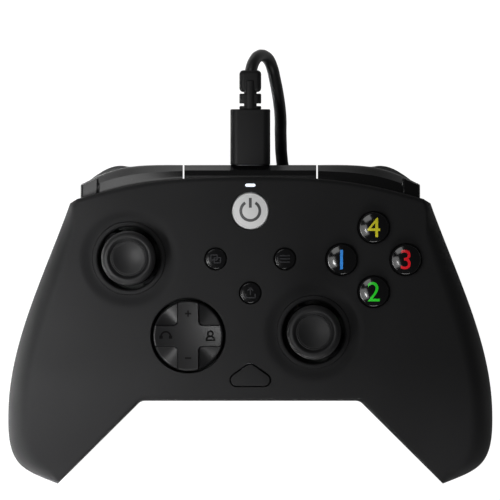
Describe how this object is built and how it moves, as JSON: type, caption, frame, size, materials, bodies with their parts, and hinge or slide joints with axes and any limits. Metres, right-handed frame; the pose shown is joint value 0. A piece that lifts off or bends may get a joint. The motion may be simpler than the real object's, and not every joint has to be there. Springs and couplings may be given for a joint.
{
  "type": "wired gamepad controller",
  "caption": "Two-handed wired gamepad with thumb sticks, a disc direction pad, face and menu buttons, bumpers, triggers, rumble motors and a coiled lead.",
  "frame": {"origin": "on the table under the middle of the case, lead left out", "axes": "+X to the player's right, +Y towards the bumpers, +Z out of the face"},
  "size_m": [0.153, 0.1375, 0.0594],
  "materials": {
    "shell": "fine-grained dark grey moulding",
    "gloss": "polished black",
    "button": "polished black with a coloured numeral",
    "dpad": "satin black",
    "stick_rubber": "soft black",
    "pale_disc": "pale grey satin",
    "light": "white diffuser",
    "steel": "plated steel",
    "inner_plastic": "unpainted moulding",
    "membrane": "grey silicone",
    "board": "green solder mask",
    "plug_plastic": "soft moulded black",
    "cord": "smooth black jacket",
    "tie": "black strap"
  },
  "bodies": {
    "case": {"front_shell": "shell", "back_shell": "shell", "top_bridge": "gloss", "status_light": "light", "left_trigger_pin": "steel", "right_trigger_pin": "steel", "left_stick_housing": "steel", "right_stick_housing": "steel", "left_motor": "steel", "right_motor": "steel", "usb_socket": "steel", "case_screws": "steel", "frame_screws": "steel", "inner_frame": "inner_plastic", "dpad_post": "inner_plastic", "bumper_switches": "inner_plastic", "stick_click_switches": "inner_plastic", "stick_sensors": "inner_plastic", "audio_jack": "inner_plastic", "face_membrane": "membrane", "dpad_membrane": "membrane", "menu_membrane": "membrane", "main_board": "board", "usb_c_plug": "plug_plastic", "strain_relief": "plug_plastic", "usb_a_plug": "plug_plastic", "cord_lead": "cord", "cord_coil": "cord", "cord_tail": "cord", "cable_tie": "tie"},
    "left_yoke": {"left_stick_yoke": "inner_plastic"},
    "left_pivot": {"left_stick_pivot": "inner_plastic"},
    "left_stick": {"left_stick_shaft": "steel", "left_stick_cap": "stick_rubber"},
    "right_yoke": {"right_stick_yoke": "inner_plastic"},
    "right_pivot": {"right_stick_pivot": "inner_plastic"},
    "right_stick": {"right_stick_shaft": "steel", "right_stick_cap": "stick_rubber"},
    "dpad_gimbal": {"dpad_carrier": "inner_plastic"},
    "dpad": {"dpad_cap": "dpad"},
    "button_west": {"button_west": "button"},
    "button_south": {"button_south": "button"},
    "button_east": {"button_east": "button"},
    "button_north": {"button_north": "button"},
    "view_button": {"view_button": "gloss"},
    "menu_button": {"menu_button": "gloss"},
    "share_button": {"share_button": "gloss"},
    "guide_button": {"guide_button": "pale_disc"},
    "function_button": {"function_button": "shell"},
    "left_bumper": {"left_bumper": "gloss"},
    "left_trigger": {"left_trigger": "gloss"},
    "left_rumble": {"left_motor_weight": "steel"},
    "right_bumper": {"right_bumper": "gloss"},
    "right_trigger": {"right_trigger": "gloss"},
    "right_rumble": {"right_motor_weight": "steel"}
  },
  "joints": [
    {"name": "left_stick_up_down", "type": "hinge", "parent": "case", "child": "left_yoke", "pos_m": [-0.03825, 0.02091, 0.0405], "axis": [1, 0, 0], "range_deg": [-18, 18], "stiffness_Nm_per_rad": 0.03},
    {"name": "left_stick_sideways", "type": "hinge", "parent": "left_yoke", "child": "left_pivot", "pos_m": [-0.03825, 0.02091, 0.0405], "axis": [0, 1, 0], "range_deg": [-18, 18], "stiffness_Nm_per_rad": 0.03},
    {"name": "left_stick_click", "type": "slide", "parent": "left_pivot", "child": "left_stick", "axis": [0, 0, -1], "range_m": [0, 0.0005], "stiffness_N_per_m": 4000},
    {"name": "right_stick_up_down", "type": "hinge", "parent": "case", "child": "right_yoke", "pos_m": [0.01997, -0.00232, 0.0405], "axis": [1, 0, 0], "range_deg": [-18, 18], "stiffness_Nm_per_rad": 0.03},
    {"name": "right_stick_sideways", "type": "hinge", "parent": "right_yoke", "child": "right_pivot", "pos_m": [0.01997, -0.00232, 0.0405], "axis": [0, 1, 0], "range_deg": [-18, 18], "stiffness_Nm_per_rad": 0.03},
    {"name": "right_stick_click", "type": "slide", "parent": "right_pivot", "child": "right_stick", "axis": [0, 0, -1], "range_m": [0, 0.0005], "stiffness_N_per_m": 4000},
    {"name": "dpad_up_down", "type": "hinge", "parent": "case", "child": "dpad_gimbal", "pos_m": [-0.01958, -0.00351, 0.04], "axis": [1, 0, 0], "range_deg": [-5, 5], "stiffness_Nm_per_rad": 0.3},
    {"name": "dpad_sideways", "type": "hinge", "parent": "dpad_gimbal", "child": "dpad", "pos_m": [-0.01958, -0.00351, 0.04], "axis": [0, 1, 0], "range_deg": [-5, 5], "stiffness_Nm_per_rad": 0.3},
    {"name": "button_west_press", "type": "slide", "parent": "case", "child": "button_west", "axis": [0, 0, -1], "range_m": [0, 0.0016], "stiffness_N_per_m": 600},
    {"name": "button_south_press", "type": "slide", "parent": "case", "child": "button_south", "axis": [0, 0, -1], "range_m": [0, 0.0016], "stiffness_N_per_m": 600},
    {"name": "button_east_press", "type": "slide", "parent": "case", "child": "button_east", "axis": [0, 0, -1], "range_m": [0, 0.0016], "stiffness_N_per_m": 600},
    {"name": "button_north_press", "type": "slide", "parent": "case", "child": "button_north", "axis": [0, 0, -1], "range_m": [0, 0.0016], "stiffness_N_per_m": 600},
    {"name": "view_press", "type": "slide", "parent": "case", "child": "view_button", "axis": [0, 0, -1], "range_m": [0, 0.0008], "stiffness_N_per_m": 1500},
    {"name": "menu_press", "type": "slide", "parent": "case", "child": "menu_button", "axis": [0, 0, -1], "range_m": [0, 0.0008], "stiffness_N_per_m": 1500},
    {"name": "share_press", "type": "slide", "parent": "case", "child": "share_button", "axis": [0, 0, -1], "range_m": [0, 0.0008], "stiffness_N_per_m": 1500},
    {"name": "guide_press", "type": "slide", "parent": "case", "child": "guide_button", "axis": [0, 0, -1], "range_m": [0, 0.0008], "stiffness_N_per_m": 1500},
    {"name": "function_press", "type": "slide", "parent": "case", "child": "function_button", "axis": [0, 0, -1], "range_m": [0, 0.0008], "stiffness_N_per_m": 1500},
    {"name": "left_bumper_press", "type": "hinge", "parent": "case", "child": "left_bumper", "pos_m": [-0.0264, 0.043, 0.038], "axis": [0, 0, 1], "range_deg": [0, 3], "stiffness_Nm_per_rad": 1},
    {"name": "left_trigger_pull", "type": "hinge", "parent": "case", "child": "left_trigger", "pos_m": [-0.04, 0.042, 0.03], "axis": [-1, 0, 0], "range_deg": [0, 15], "stiffness_Nm_per_rad": 0.12},
    {"name": "left_rumble_spin", "type": "hinge", "parent": "case", "child": "left_rumble", "pos_m": [-0.059, -0.02, 0.0205], "axis": [1, 0, 0], "continuous": true},
    {"name": "right_bumper_press", "type": "hinge", "parent": "case", "child": "right_bumper", "pos_m": [0.0264, 0.043, 0.038], "axis": [0, 0, -1], "range_deg": [0, 3], "stiffness_Nm_per_rad": 1},
    {"name": "right_trigger_pull", "type": "hinge", "parent": "case", "child": "right_trigger", "pos_m": [0.04, 0.042, 0.03], "axis": [-1, 0, 0], "range_deg": [0, 15], "stiffness_Nm_per_rad": 0.12},
    {"name": "right_rumble_spin", "type": "hinge", "parent": "case", "child": "right_rumble", "pos_m": [0.059, -0.02, 0.0205], "axis": [1, 0, 0], "continuous": true}
  ]
}
